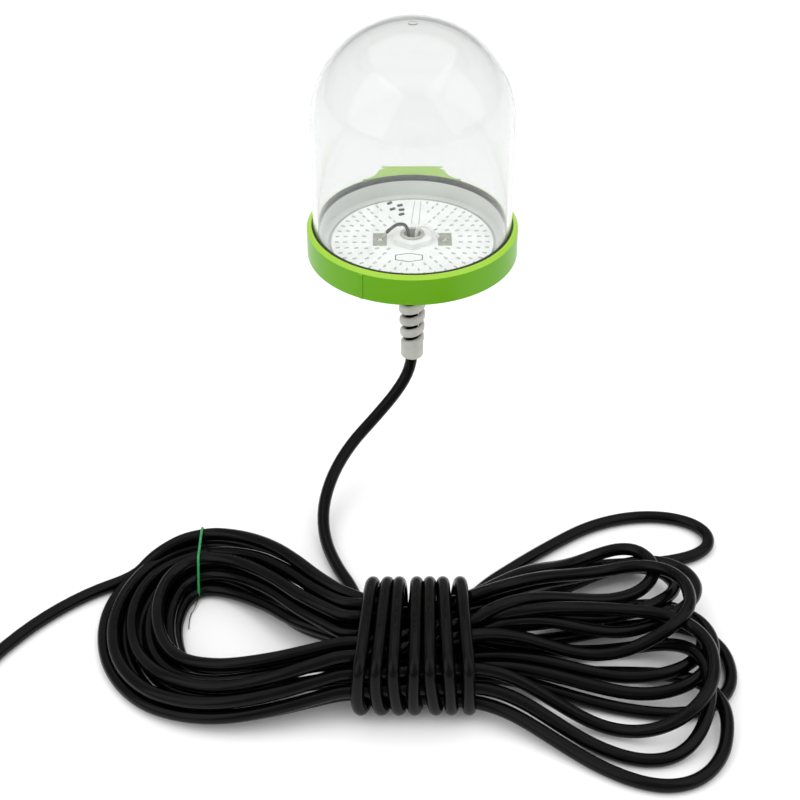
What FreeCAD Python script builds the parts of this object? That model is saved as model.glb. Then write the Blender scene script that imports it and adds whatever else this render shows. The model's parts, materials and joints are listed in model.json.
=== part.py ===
import FreeCAD, Part
import math
import os
import Sketcher
from FreeCAD import Placement, Rotation, Vector

# An underwater pond light, in millimetres, +Z up along the lamp's axis.
# The origin is the centre of the fixing lug's flat outer face, and +Y points out of that face.
# "Level" in a comment is a height above the clamp ring's underside.

os.makedirs("parts", exist_ok=True)
doc = FreeCAD.newDocument("pond_light")

SIZES = {
    # clamp ring and its fixing lug
    "ring_r": 68, "ring_high": 20, "ring_mid": 10, "ring_bevel": 2, "ring_bore_r": 66.2,
    "lip_r": 64.9, "lip_thick": 1.2, "bead_thick": 1.6, "bead_r": 65.4, "bead_high": 1.2,
    "lug_reach": 76, "lug_half_wide": 17, "lug_root_x": 34, "lug_root_y": 58.5,
    "lug_neck_x": 23, "lug_neck_y": 71.5, "lug_flare_r": 16,
    "insert_r": 3.5, "insert_bore_r": 2.1, "insert_deep": 7, "insert_pitch": 24,
    "rib_wide": 2.4, "rib_proud": 0.4, "rib_turn": 29.3, "rib_high": 17.5,
    # clear dome
    "dome_r": 64, "dome_thick": 3, "dome_level": 18.8, "dome_wall_high": 73.2,
    "foot_r": 64.3, "foot_high": 1.1, "pip_r": 2.9, "pip_high": 0.5,
    # gasket gripping the dome's foot
    "gasket_level": 17.8, "gasket_in_r": 60.1, "gasket_out_r": 66, "gasket_web": 1,
    "collar_gap_r": 64.4, "collar_r": 64.1, "collar_step": 2.2, "collar_shoulder": 1,
    "tongue_r": 64.8, "gasket_high": 2.5,
    # base cup
    "cup_level": 1.3, "cup_r": 66, "cup_floor": 4.1, "cup_step_r": 54.5, "cup_step_high": 6.2,
    "cup_wall_r": 59.6, "cup_high": 16.5, "cup_hole_r": 8.1,
    # board stack
    "pad_level": 5.4, "pad_r": 50, "pad_thick": 0.5, "board_level": 5.9, "board_r": 52.5,
    "board_thick": 1.6, "board_hole_r": 8.3, "board_top": 7.5,
    "led_long": 2.6, "led_wide": 0.9, "led_high": 0.6,
    "chip_long": 3.6, "chip_wide": 1.5, "chip_high": 1,
    "tin_wide": 9, "tin_long": 16, "tin_thick": 0.1, "tin_x": 21, "solder_r": 2.2, "solder_high": 1.1,
    # cable gland
    "locknut_flats": 24, "locknut_high": 4, "thread_r": 7.8, "locknut_hole_r": 7.9,
    "gland_foot_level": 16, "collet_thread_r": 8.9, "collet_thread_long": 10.8,
    "gland_hex_flats": 24, "gland_hex_high": 5, "thread_long": 12.5,
    "gland_bore_r": 5.5, "gland_socket_r": 7, "gland_socket_deep": 9.5,
    "o_ring_in_r": 8, "o_ring_out_r": 10.6, "o_ring_thick": 1.5, "o_ring_drop": 0.2,
    "seal_r": 6.9, "seal_hole_r": 4.05, "seal_long": 9,
    "claw_r": 7.4, "claw_hole_r": 4.7, "claw_long": 3.8, "claw_slot": 1.2, "claw_cut": 2.6,
    "claw_drop": 20,
    "nut_flats": 22, "nut_hex_long": 15, "nut_long": 76, "tip_drop": 83, "nut_socket_r": 9.2,
    "nut_socket_deep": 14, "sleeve_hole_r": 4.7, "nose_r": 10.4, "sleeve_top_r": 9.5,
    "sleeve_top": 55, "sleeve_end_r": 7.9, "cuff_r": 7.6, "cuff_long": 13, "cuff_round": 1.6,
    "slot_wide": 2.5, "slot_start": 15, "slot_rise": 38.6, "slot_pitch": 9.2, "slot_depth": 8,
    # cable and plug
    "cable_r": 4, "cable_top": 6, "wire_r": 1.1, "strand_r": 0.35, "strand_spread": 1.2,
    "floor_drop": 175, "lobe_high": 28, "waist_high": 51, "waist_long": 74, "waist_deep": 90,
    "waist_round": 4,
    "relief_long": 28, "relief_r": 7, "relief_neck_r": 4.6, "plug_long": 34, "plug_wide": 26,
    "plug_high": 16, "plug_round": 4, "blade_long": 16, "blade_thick": 1.5, "blade_high": 6.3,
    "blade_gap": 12.7, "tie_wide": 2.4, "tie_thick": 0.8, "tie_high": 31, "tie_deep": 72,
}

dims = doc.addObject("Spreadsheet::Sheet", "dims")
for row, (alias, number) in enumerate(SIZES.items(), start=1):
    dims.set(f"A{row}", alias)
    dims.set(f"B{row}", str(number))
    dims.setAlias(f"B{row}", alias)
doc.recompute()


def size(name):
    """A driving dimension, as the spreadsheet holds it."""
    return float(dims.get(name))


def words(text):
    """The signed names in a sum such as 'ring_r - ring_bevel'."""
    sign = 1
    for word in text.split():
        if word in "+-":
            sign = 1 if word == "+" else -1
        else:
            yield sign, word


def amount(text):
    """The number that a sum of dimensions stands for. '0' is allowed."""
    return sum(sign * (0 if word == "0" else size(word)) for sign, word in words(text))


def formula(text):
    """The same sum as an expression that a property can be bound to."""
    return " ".join(
        ("+ " if sign > 0 else "- ") + ("0" if word == "0" else f"dims.{word}")
        for sign, word in words("0 + " + text)
    ).lstrip("+ ")


def bind(thing, **properties):
    """Bind properties to sums of dimensions. A double underscore stands for a dot."""
    for name, text in properties.items():
        thing.setExpression(name.replace("__", "."), formula(text))


def stand(thing, level):
    """Put a sub-part on the lamp's axis with its own zero at a level."""
    bind(thing, Placement__Base__y="0 - lug_reach", Placement__Base__z=level + " - ring_mid")


# --- sketches -----------------------------------------------------------------------------

ORIGIN_POINT = (-1, 1)
TOUCHING = 0.01
START, END, CENTRE = 1, 2, 3


def new_body(name):
    body = doc.addObject("PartDesign::Body", name)
    body.Label = name
    return body


def new_sketch(body, role, name):
    """A sketch on one of the body's own origin planes."""
    plane = next(feature for feature in body.Origin.OriginFeatures if feature.Role == role)
    sketch = body.newObject("Sketcher::SketchObject", name)
    sketch.AttachmentSupport = [(plane, "")]
    sketch.MapMode = "FlatFace"
    return sketch


def fix_point(sketch, edge, end, across, up):
    """Hold a sketch point at two sums of dimensions from the sketch's origin."""
    for kind, text, axis in (("DistanceX", across, -2), ("DistanceY", up, -1)):
        if amount(text) == 0:
            sketch.addConstraint(Sketcher.Constraint("PointOnObject", edge, end, axis))
        else:
            held = sketch.addConstraint(
                Sketcher.Constraint(kind, *ORIGIN_POINT, edge, end, amount(text))
            )
            sketch.setExpression(f"Constraints[{held}]", formula(text))


def draw_outline(sketch, corners):
    """A closed polygon whose corners are (across, up) sums of dimensions."""
    points = [Vector(amount(across), amount(up), 0) for across, up in corners]
    first = sketch.GeometryCount
    count = len(points)
    for index, point in enumerate(points):
        sketch.addGeometry(Part.LineSegment(point, points[(index + 1) % count]))
    for index in range(count):
        following = (index + 1) % count
        joined = Sketcher.Constraint("Coincident", first + index, END, first + following, START)
        sketch.addConstraint(joined)
    for index, (across, up) in enumerate(corners):
        fix_point(sketch, first + index, START, across, up)


def draw_circle(sketch, radius):
    """A circle about the sketch's origin."""
    edge = sketch.addGeometry(Part.Circle(Vector(), Vector(0, 0, 1), amount(radius)))
    sketch.addConstraint(Sketcher.Constraint("Coincident", edge, CENTRE, *ORIGIN_POINT))
    held = sketch.addConstraint(Sketcher.Constraint("Radius", edge, amount(radius)))
    sketch.setExpression(f"Constraints[{held}]", formula(radius))


def draw_hexagon(sketch, flats):
    """A hexagon about the sketch's origin with a corner on the vertical axis."""
    count = 6
    corner_r = size(flats) / math.sqrt(3)
    ring = sketch.addGeometry(Part.Circle(Vector(), Vector(0, 0, 1), corner_r), True)
    sketch.addConstraint(Sketcher.Constraint("Coincident", ring, CENTRE, *ORIGIN_POINT))
    held = sketch.addConstraint(Sketcher.Constraint("Radius", ring, corner_r))
    sketch.setExpression(f"Constraints[{held}]", f"dims.{flats} / sqrt(3)")
    turns = [math.pi / 2 + 2 * math.pi * step / count for step in range(count)]
    corners = [Vector(corner_r * math.cos(turn), corner_r * math.sin(turn), 0) for turn in turns]
    sides = [
        sketch.addGeometry(Part.LineSegment(corners[step], corners[(step + 1) % count]))
        for step in range(count)
    ]
    for step, side in enumerate(sides):
        following = sides[(step + 1) % count]
        sketch.addConstraint(Sketcher.Constraint("Coincident", side, END, following, START))
        sketch.addConstraint(Sketcher.Constraint("PointOnObject", side, START, ring))
        if step:
            sketch.addConstraint(Sketcher.Constraint("Equal", sides[0], side))
    sketch.addConstraint(Sketcher.Constraint("PointOnObject", sides[0], START, -2))


# --- features -----------------------------------------------------------------------------


def turn_section(body, sketch, kind="PartDesign::Revolution"):
    """A full turn of a sketch about the body's own Z axis."""
    feature = body.newObject(kind, sketch.Name + "_turn")
    feature.Profile = sketch
    feature.ReferenceAxis = (sketch, ["V_Axis"])
    feature.Angle = 360
    return feature


def turned(name, level, corners):
    """A ring or disc: one polygon turned about the lamp's axis."""
    body = new_body(name)
    sketch = new_sketch(body, "XZ_Plane", name + "_section")
    draw_outline(sketch, corners)
    turn_section(body, sketch)
    stand(body, level)
    return body


def raise_sketch(body, sketch, height, kind="PartDesign::Pad"):
    feature = body.newObject(kind, sketch.Name + "_height")
    feature.Profile = sketch
    bind(feature, Length=height)
    return feature


def cut_and_compare(body, make_cut):
    """Make a cut and stop if it took nothing away."""
    doc.recompute()
    before = body.Shape.Volume
    cut = make_cut()
    doc.recompute()
    if body.Shape.Volume >= before - 1:
        raise RuntimeError(f"{cut.Name} cuts nothing from {body.Name}")
    return cut


def solid_feature(name, shape, place=None):
    """A sub-part that neither a Body nor a primitive fits."""
    thing = doc.addObject("Part::Feature", name)
    thing.Shape = shape
    thing.Placement = place or Placement()
    return thing


def lamp_place(level=0.0):
    """The lamp's axis at a level, as a placement."""
    return Placement(Vector(0, -size("lug_reach"), level - size("ring_mid")), Rotation())


# --- clamp ring and lug -------------------------------------------------------------------


def make_clamp_ring():
    body = new_body("clamp_ring")
    disc = new_sketch(body, "XZ_Plane", "ring_disc")
    draw_outline(disc, [
        ("0", "0"), ("ring_r", "0"), ("ring_r", "ring_high - ring_bevel"),
        ("ring_r - ring_bevel", "ring_high"), ("0", "ring_high"),
    ])
    turn_section(body, disc)

    lug = new_sketch(body, "XY_Plane", "lug_outline")
    half = size("lug_half_wide")
    face = size("lug_reach")
    neck = (size("lug_neck_x"), size("lug_neck_y"))
    root = (size("lug_root_x"), size("lug_root_y"))
    flare_r = size("lug_flare_r")
    edges = {}

    def line(key, start, end):
        edges[key] = lug.addGeometry(Part.LineSegment(Vector(*start, 0), Vector(*end, 0)))

    def flare(key, side):
        """The concave run from the lug's neck down to the ring."""
        start = Vector(side * neck[0], neck[1], 0)
        end = Vector(side * root[0], root[1], 0)
        middle = (start + end) * 0.5
        across = (end - start).normalize()
        away = Vector(abs(across.y), abs(across.x), 0)
        away.x *= side
        half_chord = (end - start).Length / 2
        centre = middle + away * math.sqrt(flare_r**2 - half_chord**2)
        sag = (middle - centre).normalize() * flare_r + centre
        edges[key] = lug.addGeometry(Part.Arc(start, sag, end))

    line("face", (half, face), (-half, face))
    line("left_slope", (-half, face), (-neck[0], neck[1]))
    flare("left_flare", -1)
    line("inside", (-root[0], root[1]), root)
    flare("right_flare", 1)
    line("right_slope", neck, (half, face))
    add = lug.addConstraint
    add(Sketcher.Constraint("Coincident", edges["face"], END, edges["left_slope"], START))
    add(Sketcher.Constraint("Coincident", edges["right_slope"], END, edges["face"], START))
    for edge, end, across, up in (
        ("face", START, "lug_half_wide", "lug_reach"),
        ("face", END, "0 - lug_half_wide", "lug_reach"),
        ("left_slope", END, "0 - lug_neck_x", "lug_neck_y"),
        ("right_slope", START, "lug_neck_x", "lug_neck_y"),
        ("inside", START, "0 - lug_root_x", "lug_root_y"),
        ("inside", END, "lug_root_x", "lug_root_y"),
    ):
        fix_point(lug, edges[edge], end, across, up)
    # An arc runs anticlockwise, so which of its ends is the neck depends on the side.
    for key, slope, slope_end, root_end in (
        ("left_flare", "left_slope", END, START),
        ("right_flare", "right_slope", START, END),
    ):
        arc = edges[key]
        neck_point = lug.getPoint(edges[slope], slope_end)
        ends = (START, END) if same_point(lug.getPoint(arc, START), neck_point) else (END, START)
        add(Sketcher.Constraint("Coincident", arc, ends[0], edges[slope], slope_end))
        add(Sketcher.Constraint("Coincident", arc, ends[1], edges["inside"], root_end))
        held = add(Sketcher.Constraint("Radius", arc, flare_r))
        lug.setExpression(f"Constraints[{held}]", formula("lug_flare_r"))
    raise_sketch(body, lug, "ring_high")

    def bore():
        inside = new_sketch(body, "XZ_Plane", "ring_bore")
        draw_outline(inside, [
            ("0", "0"), ("bead_r", "0"), ("bead_r", "bead_high"), ("ring_bore_r", "bead_high"),
            ("ring_bore_r", "ring_high - lip_thick"), ("lip_r", "ring_high - lip_thick"),
            ("lip_r", "ring_high"), ("0", "ring_high"),
        ])
        return turn_section(body, inside, "PartDesign::Groove")

    cut_and_compare(body, bore)

    def insert_holes():
        marks = new_sketch(body, "XZ_Plane", "insert_marks")
        for side, across in ((1, "0 + insert_pitch"), (-1, "0 - insert_pitch")):
            spot = Vector(side * size("insert_pitch") / 2, size("ring_mid"), 0)
            circle = marks.addGeometry(Part.Circle(spot, Vector(0, 0, 1), size("insert_r")))
            held = marks.addConstraint(Sketcher.Constraint("Radius", circle, size("insert_r")))
            marks.setExpression(f"Constraints[{held}]", "dims.insert_r")
            held = marks.addConstraint(
                Sketcher.Constraint("DistanceX", *ORIGIN_POINT, circle, CENTRE, spot.x)
            )
            marks.setExpression(f"Constraints[{held}]", f"({formula(across)}) / 2")
            held = marks.addConstraint(
                Sketcher.Constraint("DistanceY", *ORIGIN_POINT, circle, CENTRE, spot.y)
            )
            marks.setExpression(f"Constraints[{held}]", "dims.ring_mid")
        # The sketch is moved out to the lug's face, and the holes run back from it.
        marks.setExpression("AttachmentOffset.Base.z", "0 - dims.lug_reach")
        hole = body.newObject("PartDesign::Pocket", "insert_holes")
        hole.Profile = marks
        hole.Reversed = True
        bind(hole, Length="insert_deep")
        return hole

    cut_and_compare(body, insert_holes)

    rib = new_sketch(body, "XY_Plane", "rib_outline")
    draw_outline(rib, [
        ("0 - rib_wide", "ring_r - rib_proud"), ("0", "ring_r - rib_proud"),
        ("0", "ring_r + rib_proud"), ("0 - rib_wide", "ring_r + rib_proud"),
    ])
    rib.setExpression("AttachmentOffset.Rotation.Angle", "180 - dims.rib_turn")
    rib.AttachmentOffset = Placement(Vector(), Rotation(Vector(0, 0, 1), 180 - size("rib_turn")))
    raise_sketch(body, rib, "rib_high")
    stand(body, "0")


def same_point(one, other):
    return (one - other).Length < TOUCHING


def make_lug_inserts():
    """Two threaded brass inserts, flush with the lug's face."""
    tubes = []
    for side in (1, -1):
        name = "insert_right" if side > 0 else "insert_left"
        outer = doc.addObject("Part::Cylinder", name + "_outer")
        inner = doc.addObject("Part::Cylinder", name + "_bore")
        bind(outer, Radius="insert_r", Height="insert_deep")
        bind(inner, Radius="insert_bore_r", Height="insert_deep")
        for rod in (outer, inner):
            rod.Placement = Placement(Vector(), Rotation(Vector(1, 0, 0), 90))
            rod.setExpression("Placement.Base.x", f"{side} * dims.insert_pitch / 2")
        tube = doc.addObject("Part::Cut", name)
        tube.Base = outer
        tube.Tool = inner
        tubes.append(tube)
    pair = doc.addObject("Part::Compound", "lug_inserts")
    pair.Links = tubes
    return pair


# --- dome, gasket and cup -----------------------------------------------------------------


def make_dome():
    """A bell: straight wall, half-sphere top, a foot bead and the moulding's gate mark."""
    body = new_body("dome")
    sketch = new_sketch(body, "XZ_Plane", "dome_section")
    outer = size("dome_r")
    inner = outer - size("dome_thick")
    spring = size("dome_wall_high")
    foot_r = size("foot_r")
    foot = size("foot_high")
    up = Vector(0, 0, 1)
    corners = [(inner, 0), (foot_r, 0), (foot_r, foot), (outer, foot), (outer, spring)]
    for start, end in zip(corners[:-1], corners[1:]):
        sketch.addGeometry(Part.LineSegment(Vector(*start, 0), Vector(*end, 0)))
    middle = Vector(0, spring, 0)
    outside = sketch.addGeometry(Part.ArcOfCircle(Part.Circle(middle, up, outer), 0, math.pi / 2))
    crown = sketch.addGeometry(
        Part.LineSegment(Vector(0, spring + outer, 0), Vector(0, spring + inner, 0))
    )
    inside = sketch.addGeometry(Part.ArcOfCircle(Part.Circle(middle, up, inner), 0, math.pi / 2))
    back = sketch.addGeometry(Part.LineSegment(Vector(inner, spring, 0), Vector(inner, 0, 0)))
    add = sketch.addConstraint
    for edge in range(len(corners) - 1):
        add(Sketcher.Constraint("Coincident", edge, END, edge + 1, START))
    add(Sketcher.Constraint("Coincident", outside, END, crown, START))
    add(Sketcher.Constraint("Coincident", crown, END, inside, END))
    add(Sketcher.Constraint("Coincident", inside, START, back, START))
    add(Sketcher.Constraint("Coincident", back, END, 0, START))
    add(Sketcher.Constraint("PointOnObject", outside, CENTRE, -2))
    add(Sketcher.Constraint("Coincident", outside, CENTRE, inside, CENTRE))
    add(Sketcher.Constraint("PointOnObject", crown, START, -2))
    add(Sketcher.Constraint("PointOnObject", crown, END, -2))
    places = [
        ("dome_r - dome_thick", "0"), ("foot_r", "0"), ("foot_r", "foot_high"),
        ("dome_r", "foot_high"),
    ]
    for edge, (across, height) in enumerate(places):
        fix_point(sketch, edge, START, across, height)
    fix_point(sketch, 3, END, "dome_r", "dome_wall_high")
    fix_point(sketch, back, START, "dome_r - dome_thick", "dome_wall_high")
    held = add(Sketcher.Constraint("DistanceY", *ORIGIN_POINT, outside, CENTRE, spring))
    sketch.setExpression(f"Constraints[{held}]", "dims.dome_wall_high")
    turn_section(body, sketch)
    pip = new_sketch(body, "XZ_Plane", "pip_section")
    draw_outline(pip, [
        ("0", "dome_wall_high + dome_r - dome_thick + pip_high"),
        ("pip_r", "dome_wall_high + dome_r - dome_thick + pip_high"),
        ("pip_r", "dome_wall_high + dome_r + pip_high"),
        ("0", "dome_wall_high + dome_r + pip_high"),
    ])
    turn_section(body, pip)
    stand(body, "dome_level")


def make_seal_and_cup():
    turned("dome_gasket", "gasket_level", [
        ("gasket_in_r", "0"), ("gasket_out_r", "0"), ("gasket_out_r", "collar_shoulder"),
        ("tongue_r", "collar_shoulder"), ("tongue_r", "gasket_high"), ("collar_r", "gasket_high"),
        ("collar_r", "collar_step"), ("collar_gap_r", "collar_step"),
        ("collar_gap_r", "gasket_web"), ("gasket_in_r", "gasket_web"),
    ])
    turned("base_cup", "cup_level", [
        ("cup_hole_r", "0"), ("cup_r", "0"), ("cup_r", "cup_high"),
        ("cup_wall_r", "cup_high"), ("cup_wall_r", "cup_step_high"),
        ("cup_step_r", "cup_step_high"), ("cup_step_r", "cup_floor"), ("cup_hole_r", "cup_floor"),
    ])
    turned("cup_sealant", "0", [
        ("bead_r - bead_thick", "0"), ("bead_r", "0"),
        ("bead_r", "cup_level"), ("bead_r - bead_thick - bead_thick", "cup_level"),
    ])


# --- board --------------------------------------------------------------------------------

LED_RINGS = ((19.5, 14), (25.5, 20), (31.5, 26), (37.5, 32), (43.5, 38), (48.8, 44))
CHIP_SPOTS = ((-15, 47, 40), (-8, 44, 20), (-13, 39, 30), (-7, 38, 15), (-7, 32, 25))
# Boxes on the board, as (low x, low y, high x, high y), where no light-emitting diode sits.
KEEP_CLEAR = (
    (-27, -10, -15, 10), (15, -10, 27, 10), (-13, -30, 10, -16), (-4, 20, 9, 53),
    (-19, 29, -3, 50),
)


def make_board():
    turned("thermal_pad", "pad_level", [
        ("board_hole_r", "0"), ("pad_r", "0"), ("pad_r", "pad_thick"),
        ("board_hole_r", "pad_thick"),
    ])
    turned("led_board", "board_level", [
        ("board_hole_r", "0"), ("board_r", "0"), ("board_r", "board_thick"),
        ("board_hole_r", "board_thick"),
    ])


def block(long, wide, high):
    """A box centred on its own origin, standing on it."""
    return Part.makeBox(long, wide, high, Vector(-long / 2, -wide / 2, 0))


def spun(shape, x, y, degrees):
    """A copy of a shape turned about its own Z axis and moved."""
    copy = shape.copy()
    copy.Placement = Placement(Vector(x, y, 0), Rotation(Vector(0, 0, 1), degrees))
    return copy


def make_board_parts():
    top = lamp_place(size("board_top"))
    led = block(size("led_long"), size("led_wide"), size("led_high"))
    leds = []
    for ring_r, count in LED_RINGS:
        for step in range(count):
            turn = 360 * (step + 0.5) / count
            x = ring_r * math.cos(math.radians(turn))
            y = ring_r * math.sin(math.radians(turn))
            if not any(low_x < x < high_x and low_y < y < high_y
                       for low_x, low_y, high_x, high_y in KEEP_CLEAR):
                leds.append(spun(led, x, y, turn))
    solid_feature("leds", Part.makeCompound(leds), top)

    chip = block(size("chip_long"), size("chip_wide"), size("chip_high"))
    chips = [spun(chip, x, y, turn) for x, y, turn in CHIP_SPOTS]
    solid_feature("driver_chips", Part.makeCompound(chips), top)

    tin = block(size("tin_wide"), size("tin_long"), size("tin_thick"))
    tins = [spun(tin, side * size("tin_x"), 0, 0) for side in (-1, 1)]
    solid_feature("solder_pads", Part.makeCompound(tins), top)

    blob_r = size("solder_r")
    blob_high = size("solder_high")
    ball_r = (blob_r**2 + blob_high**2) / (2 * blob_high)
    blobs = []
    for side in (-1, 1):
        ball = Part.makeSphere(ball_r, Vector(0, 0, blob_high - ball_r))
        keep = block(2 * ball_r, 2 * ball_r, blob_high)
        blob = ball.common(keep)
        blob.translate(Vector(side * size("tin_x"), 0, size("tin_thick")))
        blobs.append(blob)
    solid_feature("solder_joints", Part.makeCompound(blobs), top)


# --- cable gland --------------------------------------------------------------------------

CLAW_SLOTS = 6


def make_gland():
    nut = new_body("gland_locknut")
    outline = new_sketch(nut, "XY_Plane", "locknut_outline")
    draw_hexagon(outline, "locknut_flats")
    draw_circle(outline, "locknut_hole_r")
    raise_sketch(nut, outline, "locknut_high")
    stand(nut, "board_top")

    body = new_body("gland_body")
    hexagon = new_sketch(body, "XY_Plane", "gland_hexagon")
    draw_hexagon(hexagon, "gland_hex_flats")
    hexagon.setExpression("AttachmentOffset.Base.z", "dims.collet_thread_long")
    raise_sketch(body, hexagon, "gland_hex_high")
    shank = new_sketch(body, "XZ_Plane", "gland_shank")
    top = "collet_thread_long + gland_hex_high"
    draw_outline(shank, [
        ("0", "0"), ("collet_thread_r", "0"), ("collet_thread_r", top), ("thread_r", top),
        ("thread_r", top + " + thread_long"), ("0", top + " + thread_long"),
    ])
    turn_section(body, shank)

    def passage():
        inside = new_sketch(body, "XZ_Plane", "gland_passage")
        draw_outline(inside, [
            ("0", "0"), ("gland_socket_r", "0"), ("gland_socket_r", "gland_socket_deep"),
            ("gland_bore_r", "gland_socket_deep"), ("gland_bore_r", top + " + thread_long"),
            ("0", top + " + thread_long"),
        ])
        return turn_section(body, inside, "PartDesign::Groove")

    cut_and_compare(body, passage)
    stand(body, "0 - gland_foot_level")

    turned("gland_o_ring", "cup_level - o_ring_thick", [
        ("o_ring_in_r", "0"), ("o_ring_out_r", "0"), ("o_ring_out_r", "o_ring_thick"),
        ("o_ring_in_r", "o_ring_thick"),
    ])
    turned("gland_seal", "0 - gland_foot_level", [
        ("seal_hole_r", "0"), ("seal_r", "0"), ("seal_r", "seal_long"),
        ("seal_hole_r", "seal_long"),
    ])


def make_claw():
    """The slotted ring that the nut presses against the seal."""
    claw = new_body("gland_claw")
    ring = new_sketch(claw, "XZ_Plane", "claw_section")
    draw_outline(ring, [
        ("claw_hole_r", "0"), ("claw_r", "0"), ("claw_r", "claw_long"),
        ("claw_hole_r", "claw_long"),
    ])
    turn_section(claw, ring)

    def slot():
        mark = new_sketch(claw, "XZ_Plane", "claw_slot_mark")
        draw_outline(mark, [
            ("0 - claw_slot", "claw_long - claw_cut"), ("claw_slot", "claw_long - claw_cut"),
            ("claw_slot", "claw_long"), ("0 - claw_slot", "claw_long"),
        ])
        cut = claw.newObject("PartDesign::Pocket", "claw_slot_cut")
        cut.Profile = mark
        bind(cut, Length="claw_r + claw_slot")
        return cut

    cut = cut_and_compare(claw, slot)
    ring_of_slots = claw.newObject("PartDesign::PolarPattern", "claw_slots")
    ring_of_slots.Originals = [cut]
    ring_of_slots.Axis = (cut.Profile[0], ["V_Axis"])
    ring_of_slots.Angle = 360
    ring_of_slots.Occurrences = CLAW_SLOTS
    claw.Tip = ring_of_slots
    stand(claw, "0 - claw_drop")


def make_gland_nut():
    """The compression nut and its spiral sleeve, moulded in one."""
    nut = new_body("gland_nut")
    hexagon = new_sketch(nut, "XY_Plane", "nut_hexagon")
    draw_hexagon(hexagon, "nut_flats")
    hexagon.setExpression("AttachmentOffset.Base.z", "dims.nut_long - dims.nut_hex_long")
    raise_sketch(nut, hexagon, "nut_hex_long")

    sleeve = new_sketch(nut, "XZ_Plane", "sleeve_section")
    shoulder = "nut_long - nut_hex_long"
    draw_outline(sleeve, [
        ("0", "0"), ("cuff_r - cuff_round", "0"), ("cuff_r", "cuff_round"),
        ("sleeve_end_r", "cuff_long"), ("sleeve_top_r", "sleeve_top"),
        ("nose_r", shoulder), ("nose_r", shoulder + " + cuff_round"),
        ("0", shoulder + " + cuff_round"),
    ])
    turn_section(nut, sleeve)

    def passage():
        inside = new_sketch(nut, "XZ_Plane", "nut_passage")
        draw_outline(inside, [
            ("0", "0"), ("sleeve_hole_r", "0"), ("sleeve_hole_r", "nut_long - nut_socket_deep"),
            ("nut_socket_r", "nut_long - nut_socket_deep"), ("nut_socket_r", "nut_long"),
            ("0", "nut_long"),
        ])
        return turn_section(nut, inside, "PartDesign::Groove")

    cut_and_compare(nut, passage)

    def spiral():
        mark = new_sketch(nut, "XZ_Plane", "slot_section")
        draw_outline(mark, [
            ("sleeve_hole_r - wire_r", "slot_start"),
            ("sleeve_hole_r + slot_depth", "slot_start"),
            ("sleeve_hole_r + slot_depth", "slot_start + slot_wide"),
            ("sleeve_hole_r - wire_r", "slot_start + slot_wide"),
        ])
        cut = nut.newObject("PartDesign::SubtractiveHelix", "spiral_slot")
        cut.Profile = mark
        cut.ReferenceAxis = (mark, ["V_Axis"])
        cut.Mode = 0
        bind(cut, Pitch="slot_pitch", Height="slot_rise")
        cut.LeftHanded = False
        cut.Reversed = False
        return cut

    cut_and_compare(nut, spiral)
    stand(nut, "0 - tip_drop")


# --- cables -------------------------------------------------------------------------------


ARC_SHARE = 0.45
VOLUME_SLACK = 0.01


def rounded_route(points, least_radius=0.0, report=""):
    """Straight runs joined by arcs tangent to them, as one wire.

    Each arc's radius is a share of the shorter run beside it over the tangent of half the turn.
    """
    corners = [Vector(*point) for point in points]
    edges = []
    at = corners[0]
    radii = []
    for before, here, after in zip(corners[:-2], corners[1:-1], corners[2:]):
        incoming = (here - before).normalize()
        outgoing = (after - here).normalize()
        half_turn = incoming.getAngle(outgoing) / 2
        reach = ARC_SHARE * min((here - before).Length, (after - here).Length)
        radius = reach / math.tan(half_turn)
        radii.append(round(radius))
        start = here - incoming * reach
        end = here + outgoing * reach
        inward = (outgoing - incoming).normalize()
        middle = here + inward * (radius / math.cos(half_turn) - radius)
        edges.append(Part.LineSegment(at, start).toShape())
        edges.append(Part.Arc(start, middle, end).toShape())
        at = end
    edges.append(Part.LineSegment(at, corners[-1]).toShape())
    if report:
        print(report, "radii", radii)
    if min(radii) < least_radius:
        raise RuntimeError(f"{report} turns too sharply")
    return Part.Wire(edges)


def tube(name, points, radius_name, least_radius=0.0, report=False):
    """A round cable along a route, as a sweep bound to its radius."""
    wire = rounded_route(points, least_radius, name if report else "")
    path = doc.addObject("Part::Feature", name + "_path")
    path.Shape = wire
    heading = (Vector(*points[1]) - Vector(*points[0])).normalize()
    section = doc.addObject("Part::Circle", name + "_section")
    bind(section, Radius=radius_name)
    section.Placement = Placement(Vector(*points[0]), Rotation(Vector(0, 0, 1), heading))
    sweep = doc.addObject("Part::Sweep", name)
    sweep.Sections = [section]
    sweep.Spine = (path, [f"Edge{index + 1}" for index in range(len(wire.Edges))])
    sweep.Solid = True
    sweep.Frenet = False
    doc.recompute()
    expected = math.pi * size(radius_name) ** 2 * wire.Length
    if abs(sweep.Shape.Volume - expected) > VOLUME_SLACK * expected:
        raise RuntimeError(f"{name} isn't its section times its length")
    if report:
        print(name, "length", round(wire.Length))
    return sweep


# Routes, in the part's own frame. The cable lies on a floor at -175, so its middle is at -171.
LEAD_ROUTE = (
    (0, -76, -93), (-1, -77, -104), (-10, -84, -118), (-25, -96, -131), (-42, -111, -143),
    (-54, -130, -154), (-60, -154, -163), (-58, -180, -169), (-49, -205, -171),
    (-40, -222, -171),
)
TAIL_ROUTE = (
    (-178, -214, -171), (-206, -229, -171), (-236, -257, -171), (-262, -296, -171),
    (-281, -340, -169), (-281, -376, -167),
)
# Inside the dome, from the cable's cut end to the solder pads.
BLACK_WIRE_ROUTE = (
    (-2.4, -75.4, -4), (-2.6, -75.6, 3), (-4.5, -75.6, 8.5), (-9.5, -74.6, 8.2),
    (-13.5, -73, 4.2), (-16.6, -72.2, 0.6),
)
WHITE_WIRE_ROUTE = (
    (2.4, -75.6, -4), (2.6, -75.8, 3), (4.5, -76, 8), (9.5, -76.4, 7.4),
    (13.5, -76.8, 3.4), (16.8, -77, 0),
)


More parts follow.
